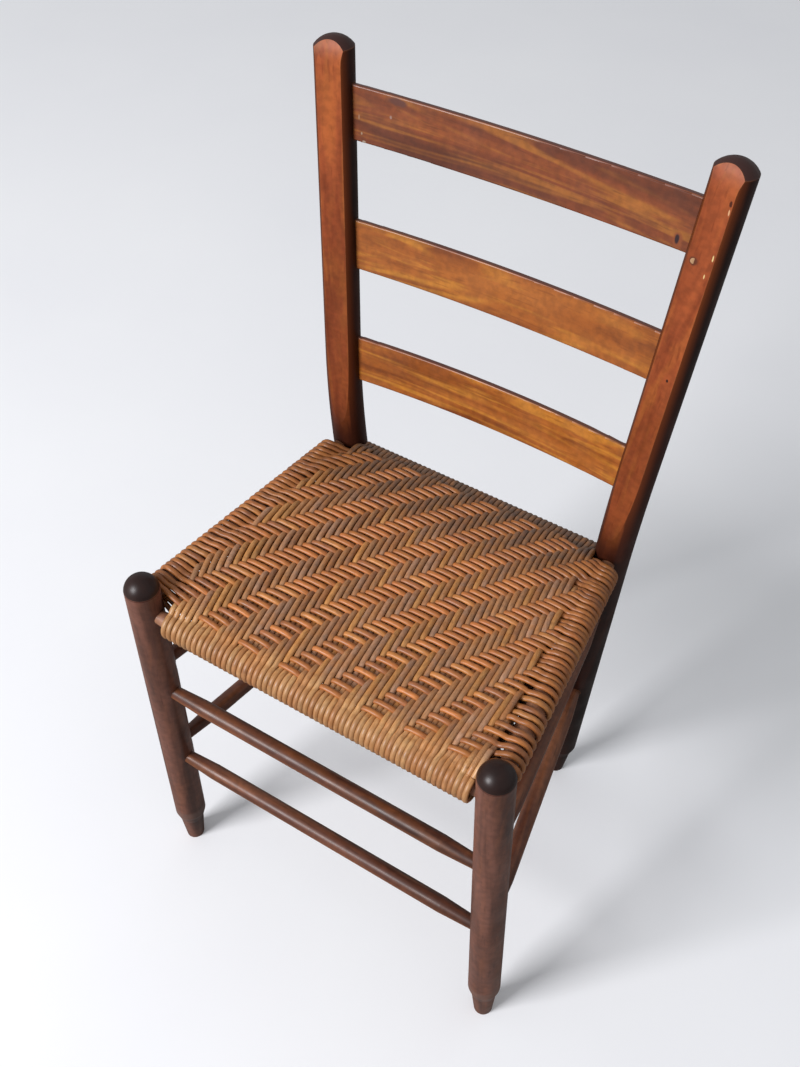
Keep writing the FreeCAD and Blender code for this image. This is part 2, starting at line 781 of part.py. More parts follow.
def twill_valley(start_x, face):
    """One slanting valley in the seat's top (face 1) or underside (face -1), or None where it has no length.

    It follows the surface from the front rail to the back one, or as far as the side rails let it, and
    runs out at both ends. Its cutter has a rim as far above the surface as its bottom is below, so its
    width doubles from the surface to the rim.
    """
    front_y = STRETCHERS["front_rail"][0].y
    back_y = STRETCHERS["back_rail"][0].y
    side_front, side_back = STRETCHERS["right_rail"][:2]
    narrowing = (side_front.x - side_back.x) * VALLEY_REACH
    room = side_front.x * VALLEY_REACH
    drift = size["twill_drift"]
    begin = max(0, (-room - start_x) / (drift - narrowing))
    finish = min(1, (room - start_x) / (drift + narrowing))
    run = Vector(drift, back_y - front_y, 0)
    if (finish - begin) * run.Length < SHORTEST_VALLEY * size["twill_repeat"]:
        return None
    to_rim = Vector(run.y, -run.x, 0).normalize() * size["valley_width"]
    skin = size["seat_rail_diameter"] / 2 + size["wrap_clearance"] + size["wrap_thickness"]
    sections = []
    for step in range(VALLEY_STEPS):
        share = begin + (finish - begin) * step / (VALLEY_STEPS - 1)
        x = start_x + drift * share
        y = front_y + (back_y - front_y) * share
        surface = skin_level(x, y) + face * skin
        ends = step in (0, VALLEY_STEPS - 1)
        fall = -VALLEY_RUNOUT if ends else 1
        bottom = Vector(x, y, surface - face * fall * size["valley_depth"])
        rim = Vector(x, y, surface + face * size["valley_depth"])
        corners = [rim - to_rim, bottom, rim + to_rim]
        sections.append(Part.makePolygon(corners + corners[:1]))
    return Part.makeLoft(sections, True, True)


def twill_valleys():
    """All the valleys between the twill's bands, on both faces of the seat."""
    reach = STRETCHERS["right_rail"][0].x + size["twill_drift"]
    count = math.ceil(reach / size["twill_repeat"])
    valleys = [twill_valley(size["twill_repeat"] * number, face)
               for number in range(-count, count + 1) for face in (1, -1)]
    return Part.makeCompound([valley for valley in valleys if valley])


def make_woven_seat():
    """The woven seat: a hollow sheet round the rails, open at its corners round the posts."""
    rail_radius = size["seat_rail_diameter"] / 2
    outer = doc.addObject("Part::Feature", "woven_seat_outside")
    outer.Shape = seat_form(rail_radius + size["wrap_clearance"] + size["wrap_thickness"])
    inner = doc.addObject("Part::Feature", "woven_seat_inside")
    inner.Shape = seat_form(rail_radius + size["wrap_clearance"])
    valleys = doc.addObject("Part::Feature", "woven_seat_valleys")
    valleys.Shape = twill_valleys()
    tools = [inner, valleys]
    low, high = seat_span()
    for side, word in SIDES:
        for name, axis, diameter in (("front", front_axis, "front_post_top_diameter"),
                                     ("rear", rear_axis, "rear_post_diameter")):
            tools.append(add_cylinder("seat_notch_%s_%s" % (name, word), along(axis(side, low), axis(side, high)),
                                      diameter + " / 2 + corner_gap", "notch_length"))
    return cut("woven_seat", outer, tools)


# Assembly

peg_cutter = add_cylinder("peg_hole", peg_place(), "peg_diameter / 2 + joint_clearance / 2",
                          PEG_LENGTH + " + joint_clearance")
slat_cutters = [make_slat_cutter(slat) for slat in SLATS]

nodes = []
for side in (LEFT, RIGHT):
    nodes.append(make_front_post(side))
    nodes.append(make_rear_post(side))
for slat in SLATS:
    nodes.append(make_slat(slat))
for name in STRETCHERS:
    if name.endswith("rail"):
        nodes.append(make_stretcher(name, "seat_rail_diameter", "rail_taper_length"))
    elif name.endswith("upper_rung") or name.endswith("lower_rung"):
        place = "front" if name in FRONT_STRETCHERS else "side"
        nodes.append(make_stretcher(name, place + "_rung_diameter", "rung_taper_length"))
    else:
        nodes.append(make_stretcher(name, "rear_rung_diameter", "rung_taper_length"))
nodes.append(make_woven_seat())
peg = add_cylinder("slat_peg", peg_place(), "peg_diameter / 2", PEG_LENGTH)
peg.Label = "slat_peg"
nodes.append(peg)

doc.recompute()

# Checks, then the files

for item in doc.Objects:
    if "Invalid" in item.State or "Error" in item.State:
        raise RuntimeError("%s failed: %s" % (item.Label, item.State))
for node in nodes:
    shape = node.Shape
    if shape.isNull() or not shape.isValid() or len(shape.Solids) != 1:
        raise RuntimeError("%s is not one sound solid" % node.Label)

os.makedirs("parts", exist_ok=True)
for node in nodes:
    node.Shape.exportStep("parts/%s.step" % node.Label)
    box = node.Shape.BoundBox
    print("%-18s %9.0f mm3  x %7.1f %7.1f  y %7.1f %7.1f  z %6.1f %6.1f" % (
        node.Label, node.Shape.Volume, box.XMin, box.XMax, box.YMin, box.YMax, box.ZMin, box.ZMax))
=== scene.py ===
"""The looks of a ladderback chair: worn varnished woods and a seat of twill woven reed.

Every length is in metres. X runs to the right of someone facing the chair, Y runs to its back and Z up,
with the origin on the floor under the middle of the chair.
"""

import logging
import math
from dataclasses import dataclass, field
from enum import Enum
from typing import Any, Sequence

import bpy
import numpy as np
from mathutils import Matrix, Vector


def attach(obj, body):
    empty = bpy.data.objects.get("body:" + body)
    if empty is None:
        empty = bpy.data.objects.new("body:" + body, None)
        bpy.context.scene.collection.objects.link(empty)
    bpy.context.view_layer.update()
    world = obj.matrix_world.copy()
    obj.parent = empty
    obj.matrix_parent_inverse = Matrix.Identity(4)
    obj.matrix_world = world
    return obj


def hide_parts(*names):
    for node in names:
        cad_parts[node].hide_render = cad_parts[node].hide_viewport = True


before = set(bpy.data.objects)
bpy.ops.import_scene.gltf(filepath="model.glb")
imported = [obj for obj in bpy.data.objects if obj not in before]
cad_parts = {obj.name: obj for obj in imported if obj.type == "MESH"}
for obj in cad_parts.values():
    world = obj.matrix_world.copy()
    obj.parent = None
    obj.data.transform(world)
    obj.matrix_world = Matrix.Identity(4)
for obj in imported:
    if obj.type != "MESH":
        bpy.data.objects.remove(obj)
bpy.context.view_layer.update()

BODY = "root"
LOG = logging.getLogger("ladderback_chair")

Array = np.ndarray
Colour = tuple[float, float, float, float]
Triple = tuple[float, float, float]

RAKED_UP: Triple = (0.0, 0.1227, 0.9925)
NEWTON_STEPS = 6
ROUGH_ROW_PITCH = 0.0075
ROUGH_WARP_PITCH = 0.0057
FIRST_GUESS_START = -0.17
FIRST_GUESS_PITCH = 0.0056


def linear(code: str) -> Colour:
    """Turn a colour as it is seen into the light values that a shader takes.

    Args:
        code: Six hexadecimal digits, red, green and blue.

    Returns:
        The colour's linear red, green and blue, and an alpha of one.
    """
    seen = [int(code[start : start + 2], 16) / 255.0 for start in (0, 2, 4)]
    light = [part / 12.92 if part <= 0.04045 else ((part + 0.055) / 1.055) ** 2.4 for part in seen]
    return (light[0], light[1], light[2], 1.0)


def mesh_points(node: str) -> Array:
    """Return the points of one piece of the construction, one to a line."""
    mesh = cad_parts[node].data
    points = np.empty(len(mesh.vertices) * 3)
    mesh.vertices.foreach_get("co", points)
    return points.reshape(-1, 3)


def smooth(value: Array, low: float = 0.0, high: float = 1.0) -> Array:
    """Rise from 0 at low to 1 at high along three times the square less twice the cube of the share."""
    share = np.clip((np.asarray(value) - low) / (high - low), 0.0, 1.0)
    return share * share * (3.0 - 2.0 * share)


class Axis(Enum):
    """The direction that a piece of wood was cut along."""

    ACROSS = (1.0, 0.0, 0.0)
    DEPTH = (0.0, 1.0, 0.0)
    UPRIGHT = (0.0, 0.0, 1.0)


class Graph:
    """A material's nodes, with short calls that add one and join it to the others."""

    def __init__(self, name: str) -> None:
        """Start a material that holds only its shader."""
        self.material = bpy.data.materials.new(name)
        self.material.use_nodes = True
        self.tree = self.material.node_tree
        self.shader = self.tree.nodes["Principled BSDF"]

    def put(self, socket: bpy.types.NodeSocket, value: Any) -> None:
        """Join a socket to another one, or write a plain value on it."""
        if isinstance(value, bpy.types.NodeSocket):
            self.tree.links.new(value, socket)
        else:
            socket.default_value = value

    def give(self, name: str, value: Any) -> None:
        """Put a socket or a plain value on one of the shader's own inputs."""
        self.put(self.shader.inputs[name], value)

    def node(self, kind: str, inputs: dict[Any, Any], **settings: Any) -> bpy.types.Node:
        """Add a node.

        Args:
            kind: The node's type, without the part that all types share.
            inputs: A value or another node's socket for each input, by name or number.
            settings: The node's own options.

        Returns:
            The new node.
        """
        made = self.tree.nodes.new("ShaderNode" + kind)
        for option, choice in settings.items():
            setattr(made, option, choice)
        for key, value in inputs.items():
            self.put(made.inputs[key], value)
        return made

    def noise(self, where: Any, scale: float, detail: float = 3.0, twist: float = 0.0) -> Any:
        """Add soft noise of a given scale and return its value."""
        inputs = {"Vector": where, "Scale": scale, "Detail": detail, "Distortion": twist}
        return self.node("TexNoise", inputs).outputs[0]

    def stretch(self, value: Any, low: float, high: float, bottom: float = 0.0, top: float = 1.0) -> Any:
        """Spread a value's range from low to high smoothly over bottom to top and return it."""
        inputs = {0: value, 1: low, 2: high, 3: bottom, 4: top}
        return self.node("MapRange", inputs, interpolation_type="SMOOTHSTEP").outputs[0]

    def sum(self, operation: str, *values: Any) -> Any:
        """Work one sum on plain values and return the result."""
        return self.node("Math", dict(enumerate(values)), operation=operation).outputs[0]

    def mix(self, share: Any, under: Any, over: Any, blend: str = "MIX") -> Any:
        """Lay one colour over another by a share and return the result."""
        inputs = {0: share, 6: under, 7: over}
        return self.node("Mix", inputs, data_type="RGBA", blend_type=blend).outputs[2]

    def ramp(self, value: Any, *stops: tuple[float, Colour]) -> Any:
        """Turn a value into a colour along a row of stops and return it."""
        made = self.node("ValToRGB", {0: value})
        elements = made.color_ramp.elements
        while len(elements) < len(stops):
            elements.new(0.5)
        for element, (place, colour) in zip(elements, stops):
            element.position = place
            element.color = colour
        return made.outputs[0]

    def place(self) -> Any:
        """Return the point of the piece, in metres, as the nodes read it."""
        return self.node("TexCoord", {}).outputs["Object"]

    def height(self, where: Any) -> Any:
        """Return the height of a point."""
        return self.node("SeparateXYZ", {0: where}).outputs["Z"]

    def facing(self, direction: Triple) -> Any:
        """Return how far the surface turns towards a direction, from -1 to 1."""
        normal = self.node("TexCoord", {}).outputs["Normal"]
        return self.node("VectorMath", {0: normal, 1: direction}, operation="DOT_PRODUCT").outputs["Value"]

    def bump(self, height: Any, strength: float, distance: float) -> None:
        """Raise the surface by a height without changing the mesh."""
        inputs = {"Height": height, "Strength": strength, "Distance": distance}
        self.give("Normal", self.node("Bump", inputs).outputs[0])


@dataclass(frozen=True)
class Mark:
    """A small mark in the wood: a knot, a chip, a speck or a hole.

    Attributes:
        centre: The mark's middle.
        size: Its half sizes along X, Y and Z.
        colour: Its colour.
        raggedness: How far its outline wanders, as a share of its size.
    """

    centre: Triple
    size: Triple
    colour: str
    raggedness: float = 0.35

    def lay(self, graph: Graph, where: Any, colour: Any) -> Any:
        """Lay the mark over a colour and return the result."""
        offset = graph.node("VectorMath", {0: where, 1: self.centre}, operation="SUBTRACT").outputs[0]
        scaled = graph.node("VectorMath", {0: offset, 1: self.size}, operation="DIVIDE").outputs[0]
        reach = graph.node("VectorMath", {0: scaled}, operation="LENGTH").outputs["Value"]
        wander = graph.noise(where, 1.3 / max(self.size), 2.0)
        centred = graph.sum("SUBTRACT", reach, self.raggedness)
        ragged = graph.sum("MULTIPLY_ADD", wander, 2.0 * self.raggedness, centred)
        return graph.mix(graph.stretch(ragged, 0.6, 1.15, 1.0, 0.0), colour, linear(self.colour))


@dataclass(frozen=True)
class Band:
    """A stretch of a turned post in another colour, such as its dome's darker stain and the painted shade
    line in the crease below it.

    Attributes:
        low: The height where the stain starts.
        high: The height where it ends.
        colour: Its colour.
        share: How strongly it covers the wood.
        fade: The height over which it starts and ends.
    """

    low: float
    high: float
    colour: str
    share: float = 0.85
    fade: float = 0.0008

    def lay(self, graph: Graph, where: Any, colour: Any) -> Any:
        """Lay the band over a colour and return the result."""
        height = graph.height(where)
        rise = graph.stretch(height, self.low, self.low + self.fade, 0.0, self.share)
        fall = graph.stretch(height, self.high, self.high + self.fade, 1.0, 0.0)
        return graph.mix(graph.sum("MULTIPLY", rise, fall), colour, linear(self.colour))


@dataclass(frozen=True)
class Shade:
    """A change of colour on the faces that turn one way, such as a slat's stained top edge and the painted
    highlight on the rounding in front of it.

    Attributes:
        facing: The direction in which the change is full.
        start: How far a face has to turn that way before the change starts.
        full: Where it is full.
        colour: The colour there.
        share: How strongly it covers the wood.
    """

    facing: Triple
    start: float
    full: float
    colour: str
    share: float = 1.0

    def lay(self, graph: Graph, where: Any, colour: Any) -> Any:
        """Lay the change over a colour and return the result."""
        turned = graph.stretch(graph.facing(self.facing), self.start, self.full, 0.0, self.share)
        return graph.mix(turned, colour, linear(self.colour))


@dataclass(frozen=True)
class WoodFinish:
    """Stained and varnished wood.

    Attributes:
        name: A maker's word for the finish.
        dark: The colour of the dark streaks.
        body: The colour that most of the wood has.
        light: The colour of the light streaks.
        glow: The colour of the broad wavy figure.
        figure: How strongly the figure shows.
        pores: How strongly the fine dark pores show.
        roughness: The roughness of the varnish.
        coat: The weight of the clear layer.
        worn: The colour where edges are rubbed.
        wear: How strongly the rubbed edges show.
        specular: The strength of the bare surface's gloss.
        arris: How far from an edge the rubbing reaches.
    """

    name: str
    dark: str
    body: str
    light: str
    glow: str
    figure: float = 0.3
    pores: float = 0.3
    roughness: float = 0.42
    coat: float = 0.25
    worn: str = "b98a62"
    wear: float = 0.0
    specular: float = 0.5
    arris: float = 0.0016

    def lay(self, graph: Graph, grain: Any, where: Any) -> Any:
        """Build the wood's colour and return it, from the point and from the grain: the point turned with Z
        along the fibres.
        """
        streaks = graph.noise(grain, 42.0, 5.0, 0.6)
        colour = graph.ramp(
            streaks, (0.3, linear(self.dark)), (0.5, linear(self.body)), (0.68, linear(self.light))
        )
        broad = graph.stretch(graph.noise(grain, 34.0, 2.5, 2.4), 0.47, 0.68)
        colour = graph.mix(graph.sum("MULTIPLY", broad, self.figure), colour, linear(self.glow))
        mottle = graph.stretch(graph.noise(where, 150.0, 4.0), 0.3, 0.7, 0.84, 1.12)
        colour = graph.mix(1.0, colour, mottle, "MULTIPLY")
        fine = graph.stretch(graph.noise(grain, 330.0, 2.0), 0.28, 0.42, self.pores, 0.0)
        return graph.mix(fine, colour, linear(self.dark))

    def rub(self, graph: Graph, where: Any, colour: Any) -> Any:
        """Lighten the colour where the surface turns sharply, as at a rubbed arris."""
        rounded = graph.node("Bevel", {"Radius": self.arris}, samples=4).outputs[0]
        true = graph.node("NewGeometry", {}).outputs["Normal"]
        alike = graph.node("VectorMath", {0: rounded, 1: true}, operation="DOT_PRODUCT").outputs["Value"]
        edge = graph.stretch(alike, 0.9, 0.995, 1.0, 0.0)
        patchy = graph.stretch(graph.noise(where, 70.0, 4.0), 0.4, 0.62, 0.25, 1.0)
        share = graph.sum("MULTIPLY", graph.sum("MULTIPLY", edge, patchy), self.wear)
        return graph.mix(share, colour, linear(self.worn))


@dataclass(frozen=True)
class ShavedFace:
    """The shaved flat down the front of a back post, whose wood is redder than the turned sides.

    Attributes:
        finish: The flat's own wood.
        facing: The direction that the flat faces.
        runs_out: The height where the flat dies into the round.
        lit_side_colour: A painted lit colour, warmer and lighter, on the round side next to the flat's arris.
        end_sheen_colour: A painted greyish reflection on the end grain of the post's top.
    """

    finish: WoodFinish
    facing: Triple
    runs_out: float
    lit_side_colour: str = "6e3414"
    end_sheen_colour: str = "402824"

    def share(self, graph: Graph, where: Any) -> Any:
        """Return how much of the flat's own wood shows: all on the flat and none on the round."""
        on_flat = graph.stretch(graph.facing(self.facing), 0.78, 0.86)
        above = graph.stretch(graph.height(where), self.runs_out - 0.03, self.runs_out + 0.04)
        return graph.sum("MULTIPLY", on_flat, above)

    def side(self, graph: Graph, where: Any, colour: Any) -> Any:
        """Paint light on the round side next to the flat's arris where it turns towards the front, and return
        the colour.
        """
        turned = graph.stretch(graph.facing(self.facing), 0.25, 0.85)
        above = graph.stretch(graph.height(where), self.runs_out - 0.02, self.runs_out + 0.06)
        return graph.mix(graph.sum("MULTIPLY", turned, above), colour, linear(self.lit_side_colour))

    def end(self, graph: Graph, colour: Any) -> Any:
        """Paint a greyish reflection on the end grain of the post's top and return the colour."""
        on_top = graph.stretch(graph.facing(RAKED_UP), 0.5, 0.6, 0.0, 0.9)
        return graph.mix(on_top, colour, linear(self.end_sheen_colour))


@dataclass
class WoodPiece:
    """One turned or shaved piece of the chair, whose mesh comes from its construction.

    Attributes:
        node: The piece's name.
        finish: Its wood.
        axis: The direction of its fibres.
        number: A count that shifts the pattern, so that no two pieces look alike.
        marks: Its knots, chips and specks.
        flat: The shaved flat, on the back posts only.
    """

    node: str
    finish: WoodFinish
    axis: Axis
    number: int
    marks: Sequence[Mark | Band | Shade] = ()
    flat: ShavedFace | None = None

    def direction(self) -> Vector:
        """Return the piece's own long direction, from the middle of its low end to that of its high end."""
        points = mesh_points(self.node)
        along = points @ np.array(self.axis.value)
        span = along.max() - along.min()
        low = points[along < along.min() + 0.08 * span].mean(axis=0)
        high = points[along > along.max() - 0.08 * span].mean(axis=0)
        return Vector(high - low).normalized()

    def dress(self) -> None:
        """Give the piece its wood, with the fibres along its length."""
        graph = Graph(f"{self.finish.name}_{self.node}")
        where = graph.place()
        turn = self.direction().to_track_quat("Z", "X").to_euler()
        shift = (0.37 * self.number, 0.23 * self.number, 0.61 * self.number)
        inputs = {"Vector": where, "Location": shift, "Rotation": turn, "Scale": (1.0, 1.0, 9.0)}
        grain = graph.node("Mapping", inputs, vector_type="TEXTURE").outputs[0]
        colour = self.finish.lay(graph, grain, where)
        if self.flat:
            # Painted light: a warmer, lighter round side next to the flat's arris.
            colour = self.flat.side(graph, where, colour)
            shaved = self.flat.finish.lay(graph, grain, where)
            colour = graph.mix(self.flat.share(graph, where), colour, shaved)
            # Painted greyish reflection on the post's top.
            colour = self.flat.end(graph, colour)
        if self.finish.wear > 0.0:
            colour = self.finish.rub(graph, where, colour)
        for mark in self.marks:
            colour = mark.lay(graph, where, colour)
        graph.give("Base Color", colour)
        mean = self.finish.roughness
        gloss = graph.stretch(graph.noise(where, 34.0, 4.0), 0.3, 0.7, mean - 0.07, mean + 0.09)
        graph.give("Roughness", gloss)
        graph.give("Coat Weight", self.finish.coat)
        graph.give("Coat Roughness", 0.24)
        graph.give("Specular IOR Level", self.finish.specular)
        relief = graph.sum("ADD", graph.noise(grain, 210.0, 3.0), graph.noise(where, 90.0, 2.0))
        graph.bump(relief, 0.18, 0.0005)
        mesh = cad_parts[self.node].data
        if not mesh.materials:
            mesh.materials.append(graph.material)
        for place in range(len(mesh.materials)):
            mesh.materials[place] = graph.material
        LOG.info("%s dressed in %s", self.node, self.finish.name)


@dataclass(frozen=True)
class ReedFinish:
    """Split reed with a thin old varnish, whose colour follows each strand.

    Attributes:
        name: A maker's word for the finish.
        streak: How strongly the fibres along a strand show.
        roughness: The roughness of the reed.
        coat: The weight of the varnish.
        warm: The colour of the warmer patches.
        stain: The colour of the brown stains.
        worn: The colour towards which the front roll is darkened.
        roll_start: The depth at which the front roll is darkest.
        roll_end: The depth behind which the reed isn't darkened.
        roll_share: How strongly the front roll is darkened.
    """

    name: str = "varnished_reed"
    streak: float = 0.26
    roughness: float = 0.46
    coat: float = 0.16
    warm: str = "b2702f"
    stain: str = "6a452c"
    worn: str = "6e3f22"
    roll_start: float = -0.184
    roll_end: float = -0.158
    roll_share: float = 0.42

    def build(self) -> bpy.types.Material:
        """Build the reed's material from the strand's own tint and the map along it."""
        graph = Graph(self.name)
        tint = graph.node("Attribute", {}, attribute_name="tint").outputs["Color"]
        along = graph.node("UVMap", {}, uv_map="strand").outputs[0]
        stretched = graph.node("Mapping", {"Vector": along, "Scale": (1.0, 0.09, 1.0)}).outputs[0]
        fibre = graph.noise(stretched, 11.0, 3.0)
        shade = graph.stretch(fibre, 0.3, 0.7, 1.0 - self.streak, 1.0 + 0.5 * self.streak)
        colour = graph.mix(1.0, tint, shade, "MULTIPLY")
        where = graph.place()
        warm = graph.stretch(graph.noise(where, 95.0, 3.0), 0.35, 0.68, 0.0, 0.45)
        colour = graph.mix(warm, colour, linear(self.warm))
        stain = graph.stretch(graph.noise(where, 120.0, 4.0), 0.56, 0.76, 0.0, 0.4)
        colour = graph.mix(stain, colour, linear(self.stain))
        depth = graph.node("SeparateXYZ", {0: where}).outputs["Y"]
        # Darker towards the front, over the front roll.
        worn = graph.stretch(depth, self.roll_start, self.roll_end, self.roll_share, 0.0)
        colour = graph.mix(worn, colour, linear(self.worn))
        graph.give("Base Color", colour)
        gloss = graph.stretch(fibre, 0.2, 0.8, self.roughness - 0.08, self.roughness + 0.12)
        graph.give("Roughness", gloss)
        graph.give("Coat Weight", self.coat)
        graph.give("Coat Roughness", 0.32)
        graph.bump(fibre, 0.2, 0.0004)
        return graph.material


@dataclass(frozen=True)
class RowLine:
    """Where the reed's rows from side to side cross one line that runs from front to back.

    Attributes:
        last: The place of the last row.
        pitch: The steady distance between rows.
        opening: How far the first row lies in front of its steady place.
        settled: The row from which the pitch is steady.
    """

    last: float
    pitch: float
    opening: float
    settled: float

    def place(self, row: Array, rows: int) -> Array:
        """Return the place of a row.

        The steady pitch is counted forward from the last row, and the first rows move further to the front
        by the power one and a half of what is left to the settled row.
        """
        early = np.clip(1.0 - row / self.settled, 0.0, None) ** 1.5
        return self.last - self.pitch * (rows - 1 - row) - self.opening * early


@dataclass(frozen=True)
class WarpLine:
    """Where the reed's warps cross one end rail.

    Attributes:
        first: The place of the first warp.
        pitch: The distance between warps at the left.
        closing: How the warps close up towards the right, by the square of their number.
    """

    first: float
    pitch: float
    closing: float = 0.0

    def place(self, warp: Array) -> Array:
        """Return the place of a warp."""
        return self.first + self.pitch * warp - self.closing * warp**2


@dataclass(frozen=True)
class Rail:
    """The centre line of one seat rail, read from its mesh.

    Attributes:
        start: The middle of the left or front end.
        end: The middle of the other end.
    """

    start: Vector
    end: Vector

    @classmethod
    def read(cls, node: str, axis: Axis) -> "Rail":
        """Find the middles of a rail's two end faces."""
        points = mesh_points(node)
        along = points @ np.array(axis.value)
        ends = []
        for limit in (along.min(), along.max()):
            face = points[np.abs(along - limit) < 0.0015]
            ends.append(Vector((face.min(axis=0) + face.max(axis=0)) / 2.0))
        return cls(ends[0], ends[1])

    def at_depth(self, depth: Array) -> tuple[Array, Array]:
        """Return the side and the height of the centre line at a place from front to back."""
        share = (depth - self.start.y) / (self.end.y - self.start.y)
        side = self.start.x + share * (self.end.x - self.start.x)
        return side, self.start.z + share * (self.end.z - self.start.z)


@dataclass
class WovenSeat:
    """The seat: round reed in a four over, four under twill, wound as closed loops round the four rails.

    Attributes:
        warps: The number of strands that run from front to back.
        rows: The number of strands that run from side to side.
        reed_width: The width of a strand.
        reed_height: Its height, a little less.
        crossing_rise: How far a strand lies over or under the middle of its layer.
        layer_offset: The distance from the middle of the seat to that of each layer.
        float_length: The number of strands in one repeat of the twill.
        warp_spread: How far the warps on top push each other apart.
        row_spread: How far the rows on top push each other apart.
        warp_drift: How far a warp wanders sideways.
        row_drift: How far a row wanders sideways.
        gather: How unevenly the rows lie on the side rails.
        crowd: How far the first rows are held back on the side rails.
        tuck_room: The distance from a side rail at which a warp is tucked under.
        run_steps: The steps along a strand over or under the seat.
        turn_steps: The steps round a rail.
        sides: The sides of a strand's oval.
        finish: The reed's surface.
        front_warps: Where the warps cross the front rail.
        back_warps: Where the warps cross the back rail.
        left_line: Where the rows cross a line near the left rail.
        middle_line: Where the rows cross the middle of the seat.
        right_line: Where the rows cross a line near the right rail.
        measured_share: The share of the half width at which the outer two lines lie.
    """

    warps: int = 60
    rows: int = 37
    reed_width: float = 0.0059
    reed_height: float = 0.0044
    crossing_rise: float = 0.0021
    layer_offset: float = 0.0134
    float_length: float = 8.0
    warp_spread: float = 0.0004
    row_spread: float = 0.0003
    warp_drift: float = 0.00014
    row_drift: float = 0.0002
    gather: float = 0.0006
    crowd: float = 0.002
    tuck_room: float = 0.0165
    run_steps: int = 108
    turn_steps: int = 12
    sides: int = 8
    finish: ReedFinish = field(default_factory=ReedFinish)
    front_warps: WarpLine = WarpLine(-0.1588, 0.00605, 0.0000085)
    back_warps: WarpLine = WarpLine(-0.1795, 0.00581)
    left_line: RowLine = RowLine(0.1105, 0.00740, 0.0, 1.0)
    middle_line: RowLine = RowLine(0.1210, 0.00736, 0.0175, 8.0)
    right_line: RowLine = RowLine(0.1105, 0.00662, 0.0260, 12.0)
    measured_share: float = 0.85

    def __post_init__(self) -> None:
        """Read the rails and draw the strands' own small differences."""
        self.front = Rail.read("front_rail", Axis.ACROSS)
        self.back = Rail.read("back_rail", Axis.ACROSS)
        self.left = Rail.read("left_rail", Axis.DEPTH)
        self.right = Rail.read("right_rail", Axis.DEPTH)
        self.front_line = self.front.start.y
        self.back_line = self.back.start.y
        self.random = np.random.default_rng(18)

    def depth_at(self, share: Array) -> Array:
        """Return the depth at a share of the way from the front rail to the back rail."""
        return self.front_line + share * (self.back_line - self.front_line)

    def share_at(self, depth: Array) -> Array:
        """Return the share of the way from the front rail to the back rail at a depth."""
        return (depth - self.front_line) / (self.back_line - self.front_line)

    def half_span(self, depth: Array) -> Array:
        """Return the distance from the middle to the right rail's centre line at a depth."""
        return self.right.at_depth(depth)[0]

    def middle_height(self, side: Array, depth: Array) -> Array:
        """Return the height of the seat's middle surface.

        The front and back rails give one line of heights and the side rails another. The point takes the
        share q over q plus p of the side rails' height, where p is one less the square of the distance
        across, and q is four times the product of the shares of depth from the front and the back.
        """
        share = np.clip(self.share_at(depth), 0.0, 1.0)
        end_height = self.front.start.z + share * (self.back.start.z - self.front.start.z)
        side_height = self.right.at_depth(depth)[1]
        across = np.clip(side / self.half_span(depth), -1.0, 1.0)
        p = 1.0 - across**2
        q = 4.0 * share * (1.0 - share)
        return end_height + (side_height - end_height) * q / (q + p + 1e-6)

    def row_place(self, row: Array, across: Array) -> Array:
        """Return where a row lies from front to back, at a share across the seat.

        Three lines give the rows at the left, the middle and the right. Half the difference of the outer two
        is a tilt, and the rest a bow that grows with a power of the share: two in front, more at the back.
        """
        left = self.left_line.place(row, self.rows)
        middle = self.middle_line.place(row, self.rows)
        right = self.right_line.place(row, self.rows)
        share = across / self.measured_share
        power = 2.0 + 2.5 * smooth(row, 22.0, 36.0)
        bow = (left + right) / 2.0 - middle
        place = middle + (right - left) / 2.0 * share + bow * np.abs(share) ** power
        edge = smooth(np.abs(across), 0.84, 1.0)
        crowd = self.crowd * np.clip(1.0 - row / 4.0, 0.0, None) ** 1.4
        return place + edge * crowd

    def row_number(self, side: Array, depth: Array) -> Array:
        """Return the running number of the row at a point, by a few steps of Newton's method."""
        across = np.clip(side / self.half_span(depth), -1.0, 1.0)
        number = self.share_at(depth) * self.rows
        for _ in range(NEWTON_STEPS):
            wrong = self.row_place(number, across) - depth
            number = np.clip(number - wrong / ROUGH_ROW_PITCH, -3.0, self.rows + 3.0)
        return number

    def warp_place(self, warp: Array, share: Array) -> Array:
        """Return where a warp lies across the seat, at a share of the depth from the front.

        Between the two rails the warps lean to the left: early at the left of the seat, late at its right.
        """
        front = self.front_warps.place(warp)
        back = self.back_warps.place(warp)
        right = np.clip(warp / (self.warps - 1.0), 0.0, 1.0)
        begin = 0.9 * np.clip(right - 0.5, 0.0, None)
        reach = 0.42 + 0.58 * smooth(right, 0.0, 0.5) - 0.45 * smooth(right, 0.5, 1.0)
        lean = smooth(np.clip((share - begin) / reach, 0.0, 1.0))
        bulge = 0.005 * smooth(right, 0.6, 1.0) * np.sin(math.pi * np.clip(share / 0.6, 0.0, 1.0))
        return front + (back - front) * lean + bulge

    def warp_number(self, side: Array, depth: Array) -> Array:
        """Return the running number of the warp at a point, by a few steps of Newton's method."""
        share = np.clip(self.share_at(depth), 0.0, 1.0)
        number = (side - FIRST_GUESS_START) / FIRST_GUESS_PITCH
        for _ in range(NEWTON_STEPS):
            wrong = self.warp_place(number, share) - side
            number = np.clip(number - wrong / ROUGH_WARP_PITCH, -8.0, self.warps + 8.0)
        return number

    def interlace(self, number: Array) -> Array:
        """Return 1 where the warp is on top, -1 where the row is, and a steep smooth change between."""
        turn = 2.0 * math.pi * (number - 2.5) / self.float_length
        return np.tanh(2.1 * np.cos(turn)) / math.tanh(2.1)

    def push(self, number: Array) -> Array:
        """Return how far the strands on top are pushed from the middle of their group, from -1 to 1."""
        return np.sin(2.0 * math.pi * (number - 2.5) / self.float_length)

